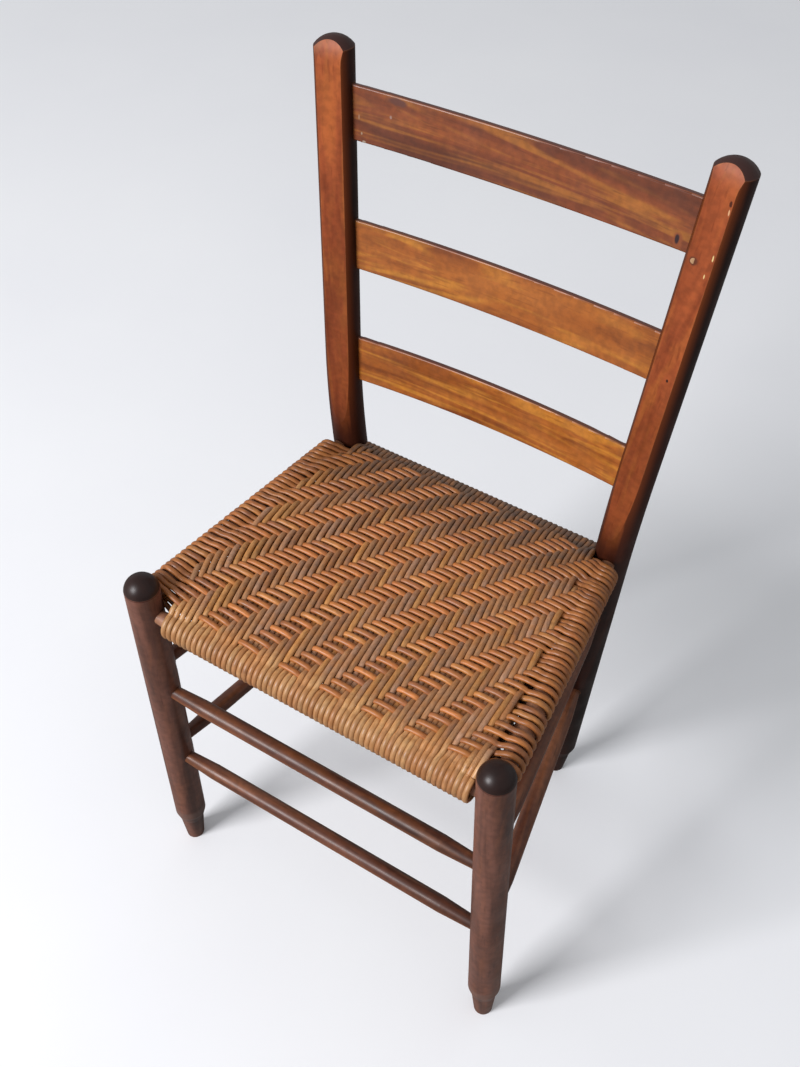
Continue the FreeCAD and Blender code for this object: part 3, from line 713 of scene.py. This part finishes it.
    def wobble(self, count: int, steps: int, size: float) -> Array:
        """Return a slow wander for each closed strand, the sum of three waves with phases of its own."""
        along = np.linspace(0.0, 1.0, steps, endpoint=False)
        total = np.zeros((count, steps))
        for waves in (3.0, 7.0, 13.0):
            phase = self.random.uniform(0.0, 2.0 * math.pi, (count, 1))
            total += np.sin(2.0 * math.pi * waves * along + phase) / math.sqrt(waves)
        return size * total

    def side_fade(self, side: Array, depth: Array) -> Array:
        """Return 1 over the open weave and 0 on the rails, where the strands lie flat."""
        room = self.half_span(depth) - np.abs(side)
        ends = smooth(depth - self.front_line, 0.0, 0.007) * smooth(self.back_line - depth, 0.001, 0.009)
        return smooth(room, 0.004, 0.013) * ends

    def turn_angles(self) -> Array:
        """Return the angles of the steps round a rail, from the top down."""
        return (np.arange(self.turn_steps) + 0.5) / self.turn_steps * math.pi

    def warp_ends(self, warp: Array) -> Array:
        """Return the share of depth where each warp ends.

        A warp ends on the back rail, unless it meets a side rail on the way: then it is tucked under the rows
        where it comes within a little of that rail.
        """
        shares = np.linspace(0.0, 1.0, 401)
        places = self.warp_place(warp[:, None], shares[None, :])
        depths = self.depth_at(shares)
        room = self.half_span(depths)[None, :] - np.abs(places)
        blocked = room < self.tuck_room
        first = np.where(blocked.any(axis=1), blocked.argmax(axis=1), shares.size - 1)
        return shares[np.maximum(first, 12)]

    def warp_loops(self) -> tuple[Array, Array]:
        """Work out the centre lines of the warps.

        Each loop runs over the seat to the back, down round the back rail, back under the seat and up round
        the front rail.

        Returns:
            The points by warp and step, and the share of the depth of each.
        """
        warp = np.arange(self.warps, dtype=float)
        end = self.warp_ends(warp)
        run = (np.arange(self.run_steps) + 0.5) / self.run_steps
        turn = self.turn_angles()
        share_over = end[:, None] * run[None, :]
        over = self.warp_run(warp, share_over, 1.0)
        under = self.warp_run(warp, share_over[:, ::-1], -1.0)
        back_turn = self.warp_turn(warp, end, turn, 1.0)
        front_turn = self.warp_turn(warp, np.zeros_like(end), turn, -1.0)
        points = np.concatenate((over, back_turn, under, front_turn), axis=1)
        at_back = np.repeat(end[:, None], self.turn_steps, axis=1)
        at_front = np.zeros_like(at_back)
        shares = np.concatenate((share_over, at_back, share_over[:, ::-1], at_front), axis=1)
        points[:, :, 0] += self.wobble(self.warps, points.shape[1], self.warp_drift)
        return points, shares

    def warp_run(self, warp: Array, share: Array, layer: float) -> Array:
        """Return the warps' points over the seat, where layer is 1, or under it, where layer is -1."""
        depth = self.depth_at(share)
        side = self.warp_place(warp[:, None], share)
        number = warp[:, None] - self.row_number(side, depth)
        fade = self.side_fade(side, depth)
        rise = self.layer_offset + self.crossing_rise * self.interlace(number) * fade
        height = self.middle_height(side, depth) + layer * rise
        side = side + self.warp_spread * self.push(number) * fade
        return np.stack((side, depth, height), axis=2)

    def warp_turn(self, warp: Array, share: Array, turn: Array, end: float) -> Array:
        """Return the warps' half circles round the back rail, for end 1, or the front rail, for end -1."""
        depth = self.depth_at(share)
        side = self.warp_place(warp, share)
        height = self.middle_height(side, depth)
        depths = depth[:, None] + end * self.layer_offset * np.sin(turn)[None, :]
        heights = height[:, None] + end * self.layer_offset * np.cos(turn)[None, :]
        return np.stack((np.broadcast_to(side[:, None], depths.shape), depths, heights), axis=2)

    def row_loops(self) -> tuple[Array, Array]:
        """Work out the centre lines of the rows.

        Each loop runs over the seat to the right, down round the right rail, back under the seat and up
        round the left rail.

        Returns:
            The points by row and step, and the share across of each.
        """
        row = np.arange(self.rows, dtype=float)
        run = -1.0 + 2.0 * (np.arange(self.run_steps) + 0.5) / self.run_steps
        turn = self.turn_angles()
        gather = self.random.normal(0.0, self.gather, (self.rows, 2))
        over = self.row_run(row, run, 1.0, gather)
        under = self.row_run(row, run[::-1], -1.0, gather)
        right_turn = self.row_turn(row, turn, 1.0, gather[:, 1])
        left_turn = self.row_turn(row, turn, -1.0, gather[:, 0])
        points = np.concatenate((over, right_turn, under, left_turn), axis=1)
        ones = np.ones(self.turn_steps)
        shares = np.concatenate((run, ones, run[::-1], -ones))
        points[:, :, 1] += self.wobble(self.rows, points.shape[1], self.row_drift)
        return points, np.broadcast_to(shares, points.shape[:2])

    def row_run(self, row: Array, across: Array, layer: float, gather: Array) -> Array:
        """Return the rows' points over the seat, where layer is 1, or under it, where layer is -1."""
        share = across[None, :]
        depth = self.row_place(row[:, None], share)
        side = share * self.half_span(depth)
        number = self.warp_number(side, depth) - row[:, None]
        fade = self.side_fade(side, depth)
        rise = self.layer_offset - self.crossing_rise * self.interlace(number) * fade
        height = self.middle_height(side, depth) + layer * rise
        depth = depth + self.row_spread * self.push(number) * fade
        depth = depth + smooth(share, 0.8, 1.0) * gather[:, 1:] + smooth(-share, 0.8, 1.0) * gather[:, :1]
        return np.stack((side, depth, height), axis=2)

    def row_turn(self, row: Array, turn: Array, end: float, gather: Array) -> Array:
        """Return the rows' half circles round the right rail, for end 1, or the left rail, for end -1."""
        depth = self.row_place(row, np.full_like(row, end))
        rail = self.right if end > 0.0 else self.left
        side, height = rail.at_depth(depth)
        out = Vector((rail.end - rail.start).to_2d()).normalized()
        reach = self.layer_offset * np.sin(turn)[None, :]
        sides = side[:, None] + end * out.y * reach
        depths = (depth + gather)[:, None] + abs(out.x) * reach
        heights = height[:, None] + end * self.layer_offset * np.cos(turn)[None, :]
        return np.stack((sides, depths, heights), axis=2)

    def tube(self, points: Array, across: Triple) -> Array:
        """Carry the strand's oval round each closed centre line.

        The tangent runs between the points on both sides. The width lies along the given direction less its
        part along the tangent, and the height along the tangent's cross product with the width.

        Args:
            points: The centre lines, by strand and step.
            across: The rough direction of the strands' width.

        Returns:
            The surface's points by strand, step and side.
        """
        tangent = np.roll(points, -1, axis=1) - np.roll(points, 1, axis=1)
        tangent /= np.linalg.norm(tangent, axis=2, keepdims=True)
        wide = np.asarray(across) - tangent * (tangent @ np.asarray(across))[:, :, None]
        wide /= np.linalg.norm(wide, axis=2, keepdims=True)
        high = np.cross(tangent, wide)
        angle = 2.0 * math.pi * np.arange(self.sides) / self.sides
        sideways = (self.reed_width / 2.0 * np.cos(angle))[:, None]
        upwards = (self.reed_height / 2.0 * np.sin(angle))[:, None]
        return points[:, :, None, :] + wide[:, :, None, :] * sideways + high[:, :, None, :] * upwards

    def mesh(self, name: str, surface: Array, tint: Array) -> bpy.types.Object:
        """Put closed strands into one mesh, with a tint by point and a map along each strand.

        Args:
            name: The new piece's name.
            surface: The points by strand, step and side.
            tint: The linear colour by strand and step.

        Returns:
            The new piece.
        """
        strands, steps, sides, _ = surface.shape
        grid = np.arange(strands * steps * sides).reshape(strands, steps, sides)
        after = np.roll(grid, -1, axis=1)
        corners = (grid, np.roll(grid, -1, axis=2), np.roll(after, -1, axis=2), after)
        faces = np.stack(corners, axis=3).reshape(-1, 4)
        mesh = bpy.data.meshes.new(name)
        mesh.vertices.add(grid.size)
        mesh.vertices.foreach_set("co", surface.reshape(-1).astype(np.float32))
        mesh.loops.add(faces.size)
        mesh.loops.foreach_set("vertex_index", faces.reshape(-1).astype(np.int32))
        mesh.polygons.add(len(faces))
        mesh.polygons.foreach_set("loop_start", np.arange(0, faces.size, 4, dtype=np.int32))
        mesh.polygons.foreach_set("use_smooth", np.ones(len(faces), dtype=bool))
        mesh.update(calc_edges=True)
        colour = np.ones((strands, steps, sides, 4), dtype=np.float32)
        colour[..., :3] = tint[:, :, None, :]
        mesh.attributes.new("tint", "FLOAT_COLOR", "POINT").data.foreach_set("color", colour.reshape(-1))
        number, step, side = np.meshgrid(*map(np.arange, (strands, steps, sides)), indexing="ij")
        round_share = np.stack((side, side + 1, side + 1, side), axis=3) / sides
        along = np.stack((step, step, step + 1, step + 1), axis=3) * 0.5 + 7.3 * number[..., None]
        layer = mesh.uv_layers.new(name="strand")
        layer.data.foreach_set("uv", np.stack((round_share, along), axis=4).reshape(-1).astype(np.float32))
        mesh.validate()
        piece = bpy.data.objects.new(name, mesh)
        bpy.context.scene.collection.objects.link(piece)
        return piece

    def tones(self, count: int, colours: Sequence[str], weights: Sequence[float], spread: float) -> Array:
        """Draw one colour for each strand from a few named ones, each a little lighter or darker."""
        picked = self.random.choice(len(colours), size=count, p=np.asarray(weights) / sum(weights))
        base = np.array([linear(code)[:3] for code in colours])[picked]
        return base * np.exp(self.random.normal(0.0, spread, (count, 1)))

    def warp_tint(self, shares: Array) -> Array:
        """Return the warps' colours: grey brown on the seat, honey at the front, darker at the back."""
        body = self.tones(self.warps, ("a67852", "a47c60", "b27e48", "966848"), (5, 3, 2, 2), 0.1)
        front = self.tones(self.warps, ("cc9c66", "d2a06a", "c48c58"), (1, 1, 1), 0.06)
        back = self.tones(self.warps, ("6e4e38", "6a4c3a", "765842"), (1, 1, 1), 0.08)
        near_front = (1.0 - smooth(shares, 0.0, 0.09))[..., None]
        near_back = smooth(shares, 0.6, 0.96)[..., None]
        middle = body[:, None, :] * (1.0 - near_front) + front[:, None, :] * near_front
        return middle * (1.0 - near_back) + back[:, None, :] * near_back

    def row_tint(self, shares: Array) -> Array:
        """Return the rows' colours: orange, each its own tone, with painted shade towards the back and over
        the side rails.
        """
        body = self.tones(self.rows, ("b87038", "b26a34", "c07e42", "a26238"), (5, 4, 3, 2), 0.1)
        # Painted shade: the rows towards the back are darker.
        body = body * (1.0 - 0.3 * smooth(np.arange(self.rows), 20.0, 36.0))[:, None]
        # Painted shade: the rows are browner towards and over the side rails.
        side = smooth(np.abs(shares), 0.55, 1.0)[..., None]
        return body[:, None, :] * (1.0 - 0.26 * side)

    def build(self) -> list[bpy.types.Object]:
        """Weave the seat and dress it.

        Returns:
            The pieces of the woven seat.
        """
        warp_points, warp_shares = self.warp_loops()
        row_points, row_shares = self.row_loops()
        warp_tube = self.tube(warp_points, (-1.0, 0.0, 0.0))
        row_tube = self.tube(row_points, (0.0, 1.0, 0.0))
        warp_tint = self.warp_tint(warp_shares)
        half = self.warps // 2
        pieces = [
            self.mesh("seat_warps_left", warp_tube[:half], warp_tint[:half]),
            self.mesh("seat_warps_right", warp_tube[half:], warp_tint[half:]),
            self.mesh("seat_rows", row_tube, self.row_tint(row_shares)),
        ]
        material = self.finish.build()
        for piece in pieces:
            piece.data.materials.append(material)
            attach(piece, BODY)
            LOG.info("%s woven with %d faces", piece.name, len(piece.data.polygons))
        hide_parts("woven_seat")
        return pieces


RUNG_WOOD = WoodFinish(
    "dark_rung", "341c14", "5c3526", "764a34", "86502c", 0.4, 0.4, 0.42, 0.14, specular=0.3
)
FRONT_POST_WOOD = WoodFinish(
    "dark_post", "40241b", "6c4436", "7e5244", "865238", 0.35, 0.35, 0.42, 0.12, specular=0.3
)
ROUND_BACK_WOOD = WoodFinish(
    "dark_back_post", "140805", "260e08", "3c1a0d", "442010", 0.2, 0.3, 0.5, 0.04, "a8683c", 0.5, 0.2
)
FLAT_WOOD = WoodFinish("red_flat", "6c2e14", "964a26", "a6582a", "ae682c", 0.35, 0.45, 0.42, 0.2)
TOP_SLAT_WOOD = WoodFinish("red_slat", "582812", "783a1a", "8c4a20", "aa6a26", 0.6, 0.45, 0.42, 0.18)
LOW_SLAT_WOOD = WoodFinish("golden_slat", "70360f", "96521c", "a66024", "c07e2c", 0.7, 0.4, 0.42, 0.18)
RAIL_WOOD = WoodFinish("bare_rail", "6a4030", "8c5e44", "a07052", "a07052", 0.2, 0.3, 0.5, 0.1)
PEG_WOOD = WoodFinish("pale_peg", "8a6442", "b08a64", "c0a078", "c0a078", 0.2, 0.2, 0.5, 0.1)

DOME_BANDS = (
    Band(0.4788, 0.60, "180806", 0.94),
    # Painted shade: a thin dark line in the crease at the dome's base.
    Band(0.4776, 0.4784, "3a0f08", 0.9, 0.0004),
    Band(0.052, 0.068, "7a6258", 0.35, 0.006),
)
SLAT_EDGE_STAIN_AND_HIGHLIGHT = (
    # Painted highlight: pinkish on the rounding between a slat's front and its top edge.
    Shade(RAKED_UP, 0.3, 0.6, "8a5440", 0.5),
    # The top edge's darker stain.
    Shade(RAKED_UP, 0.7, 0.97, "4a1e12", 0.85),
)
RUNG_SHADES = (Shade((0.0, -0.7, -0.7), 0.3, 0.95, "8a4e24", 0.6),)
TOP_SLAT_MARKS = (
    Mark((0.1500, 0.1657, 0.7905), (0.0046, 0.01, 0.0075), "844420", 0.5),
    Mark((0.1489, 0.1657, 0.7911), (0.0022, 0.01, 0.0044), "2a1218", 0.25),
    Mark((-0.1235, 0.17, 0.8122), (0.0013, 0.01, 0.0018), "947468", 0.5),
    Mark((-0.1489, 0.1647, 0.7833), (0.0020, 0.01, 0.0014), "a4907c", 0.5),
    Mark((-0.1515, 0.1654, 0.7906), (0.0010, 0.01, 0.0016), "9a8068", 0.5),
    Mark((-0.1547, 0.1669, 0.805), (0.0008, 0.01, 0.0026), "946c50", 0.5),
    Mark((-0.1187, 0.1721, 0.8274), (0.012, 0.02, 0.0036), "5c3226", 0.9),
)
LOW_BACK_STAIN = Band(0.38, 0.60, "4a1e0c", 0.38, 0.11)
RIGHT_POST_MARKS = (
    LOW_BACK_STAIN,
    Mark((0.1852, 0.1499, 0.7957), (0.0007, 0.003, 0.0032), "d8bc80", 0.4),
    Mark((0.1817, 0.1481, 0.7783), (0.0006, 0.003, 0.0024), "d8bc80", 0.4),
    Mark((0.1882, 0.1548, 0.8359), (0.0007, 0.004, 0.0030), "cf9f74", 0.4),
    Mark((0.1881, 0.1556, 0.8423), (0.0014, 0.004, 0.0028), "4a2010", 0.4),
    Mark((0.1697, 0.1509, 0.7868), (0.0042, 0.006, 0.0042), "5c301e", 0.2),
    Mark((0.1731, 0.1357, 0.6746), (0.0011, 0.006, 0.0016), "2a1410", 0.3),
    Mark((0.1633, 0.1181, 0.3642), (0.0016, 0.006, 0.0022), "150a08", 0.3),
)


@dataclass
class WoodenFrame:
    """The posts, slats, rungs and rails, each dressed in its own wood.

    Attributes:
        flat_facing: The direction that the left back post's flat faces; the right one's is its mirror image.
        flat_runs_out: The height where the flats die into the round.
    """

    flat_facing: Triple = (0.166, -0.977, 0.131)
    flat_runs_out: float = 0.485

    def pieces(self) -> list[WoodPiece]:
        """List every wooden piece with its wood, the direction of its fibres and its marks."""
        inwards, forward, upward = self.flat_facing
        left_flat = ShavedFace(FLAT_WOOD, (inwards, forward, upward), self.flat_runs_out)
        right_flat = ShavedFace(FLAT_WOOD, (-inwards, forward, upward), self.flat_runs_out)
        made = [
            WoodPiece("front_left_post", FRONT_POST_WOOD, Axis.UPRIGHT, 1, DOME_BANDS),
            WoodPiece("front_right_post", FRONT_POST_WOOD, Axis.UPRIGHT, 2, DOME_BANDS),
            WoodPiece("rear_left_post", ROUND_BACK_WOOD, Axis.UPRIGHT, 3, (LOW_BACK_STAIN,), left_flat),
            WoodPiece("rear_right_post", ROUND_BACK_WOOD, Axis.UPRIGHT, 4, RIGHT_POST_MARKS, right_flat),
            WoodPiece("top_slat", TOP_SLAT_WOOD, Axis.ACROSS, 5, SLAT_EDGE_STAIN_AND_HIGHLIGHT + TOP_SLAT_MARKS),
            WoodPiece("middle_slat", LOW_SLAT_WOOD, Axis.ACROSS, 6, SLAT_EDGE_STAIN_AND_HIGHLIGHT),
            WoodPiece("bottom_slat", LOW_SLAT_WOOD, Axis.ACROSS, 7, SLAT_EDGE_STAIN_AND_HIGHLIGHT),
            WoodPiece("slat_peg", PEG_WOOD, Axis.DEPTH, 8),
        ]
        rest = (
            (RUNG_WOOD, Axis.ACROSS, RUNG_SHADES, ("front_upper_rung", "front_lower_rung", "rear_rung")),
            (RUNG_WOOD, Axis.DEPTH, (), ("left_upper_rung", "left_lower_rung")),
            (RUNG_WOOD, Axis.DEPTH, (), ("right_upper_rung", "right_lower_rung")),
            (RAIL_WOOD, Axis.ACROSS, (), ("front_rail", "back_rail")),
            (RAIL_WOOD, Axis.DEPTH, (), ("left_rail", "right_rail")),
        )
        for wood, axis, marks, nodes in rest:
            for node in nodes:
                made.append(WoodPiece(node, wood, axis, len(made) + 1, marks))
        return made

    def build(self) -> None:
        """Dress every wooden piece."""
        for piece in self.pieces():
            piece.dress()


@dataclass
class Studio:
    """The floor, the light and the camera, none of which is part of the chair.

    Attributes:
        camera_place: Where the camera stands.
        camera_right: The direction of the picture's right side.
        camera_up: The direction of the picture's top.
        camera_forward: The direction that the camera looks in.
        lens: The focal length in millimetres for a sensor of 36 mm on the picture's long side.
        floor_size: The floor's width and depth.
        window_place: Where the window light hangs.
        window_aim: The point that it faces.
        window_size: Its width and height.
        window_power: Its power in watts.
        window_colour: Its colour.
        sky_colour: The colour of the light from all round.
        sky_strength: Its strength.
        backdrop_colour: The colour behind the floor's edge.
        floor_colour: The floor's dull and bright paint, as the camera sees it.
        floor_bounce: The floor's colour for the light that it throws back.
    """

    camera_place: Triple = (0.405655, -0.645455, 1.382333)
    camera_right: Triple = (0.84615609, 0.53285281, -0.00936771)
    camera_up: Triple = (-0.39684543, 0.6417177, 0.6562866)
    camera_forward: Triple = (-0.35571558, 0.55160337, -0.75445354)
    lens: float = 41.75
    floor_size: float = 12.0
    window_place: Triple = (-1.71, -3.36, 2.8)
    window_aim: Triple = (0.0, 0.0, 0.35)
    window_size: float = 1.7
    window_power: float = 208.0
    window_colour: str = "fdfcff"
    sky_colour: str = "f4f6fa"
    sky_strength: float = 0.49
    backdrop_colour: str = "e0e2e5"
    floor_colour: tuple[str, str] = ("f3f4f6", "f7f8f9")
    floor_bounce: str = "8c8a88"

    def camera(self) -> None:
        """Set up the camera at the photographed angle."""
        data = bpy.data.cameras.new("camera")
        data.lens = self.lens
        camera = bpy.data.objects.new("camera", data)
        backward = -Vector(self.camera_forward)
        turn = Matrix((self.camera_right, self.camera_up, backward)).transposed()
        camera.matrix_world = Matrix.Translation(self.camera_place) @ turn.to_4x4()
        bpy.context.scene.collection.objects.link(camera)
        bpy.context.scene.camera = camera

    def floor(self) -> None:
        """Lay a plain pale floor with a faint unevenness in its paint."""
        half = self.floor_size / 2.0
        mesh = bpy.data.meshes.new("floor")
        corners = [(-half, -half, 0.0), (half, -half, 0.0), (half, half, 0.0), (-half, half, 0.0)]
        mesh.from_pydata(corners, [], [(0, 1, 2, 3)])
        graph = Graph("pale_floor")
        where = graph.place()
        cloud = graph.noise(where, 2.2, 5.0)
        dull, bright = self.floor_colour
        seen = graph.ramp(cloud, (0.3, linear(dull)), (0.7, linear(bright)))
        looked_at = graph.node("LightPath", {}).outputs["Is Camera Ray"]
        graph.give("Base Color", graph.mix(looked_at, linear(self.floor_bounce), seen))
        graph.give("Roughness", 0.7)
        mesh.materials.append(graph.material)
        floor = bpy.data.objects.new("floor", mesh)
        bpy.context.scene.collection.objects.link(floor)

    def lights(self) -> None:
        """Hang one large soft window light at the front left and a pale sky all round."""
        data = bpy.data.lights.new("window", "AREA")
        data.shape = "SQUARE"
        data.size = self.window_size
        data.energy = self.window_power
        data.color = linear(self.window_colour)[:3]
        window = bpy.data.objects.new("window", data)
        turn = (Vector(self.window_aim) - Vector(self.window_place)).to_track_quat("-Z", "Y")
        window.matrix_world = Matrix.Translation(self.window_place) @ turn.to_matrix().to_4x4()
        bpy.context.scene.collection.objects.link(window)
        world = bpy.data.worlds.new("sky")
        world.use_nodes = True
        tree = world.node_tree
        sky = tree.nodes["Background"]
        sky.inputs["Color"].default_value = linear(self.sky_colour)
        sky.inputs["Strength"].default_value = self.sky_strength
        backdrop = tree.nodes.new("ShaderNodeBackground")
        backdrop.inputs["Color"].default_value = linear(self.backdrop_colour)
        looked_at = tree.nodes.new("ShaderNodeLightPath").outputs["Is Camera Ray"]
        choice = tree.nodes.new("ShaderNodeMixShader")
        tree.links.new(looked_at, choice.inputs[0])
        tree.links.new(sky.outputs[0], choice.inputs[1])
        tree.links.new(backdrop.outputs[0], choice.inputs[2])
        tree.links.new(choice.outputs[0], tree.nodes["World Output"].inputs["Surface"])
        bpy.context.scene.world = world

    def build(self) -> None:
        """Make the whole studio."""
        self.camera()
        self.floor()
        self.lights()
        bpy.context.scene.view_settings.view_transform = "Standard"


def main() -> None:
    """Build the chair's looks: the studio, the wooden frame and the woven seat."""
    logging.basicConfig(level=logging.INFO, format="%(message)s")
    Studio().build()
    WoodenFrame().build()
    WovenSeat().build()


if __name__ == "__main__":
    main()
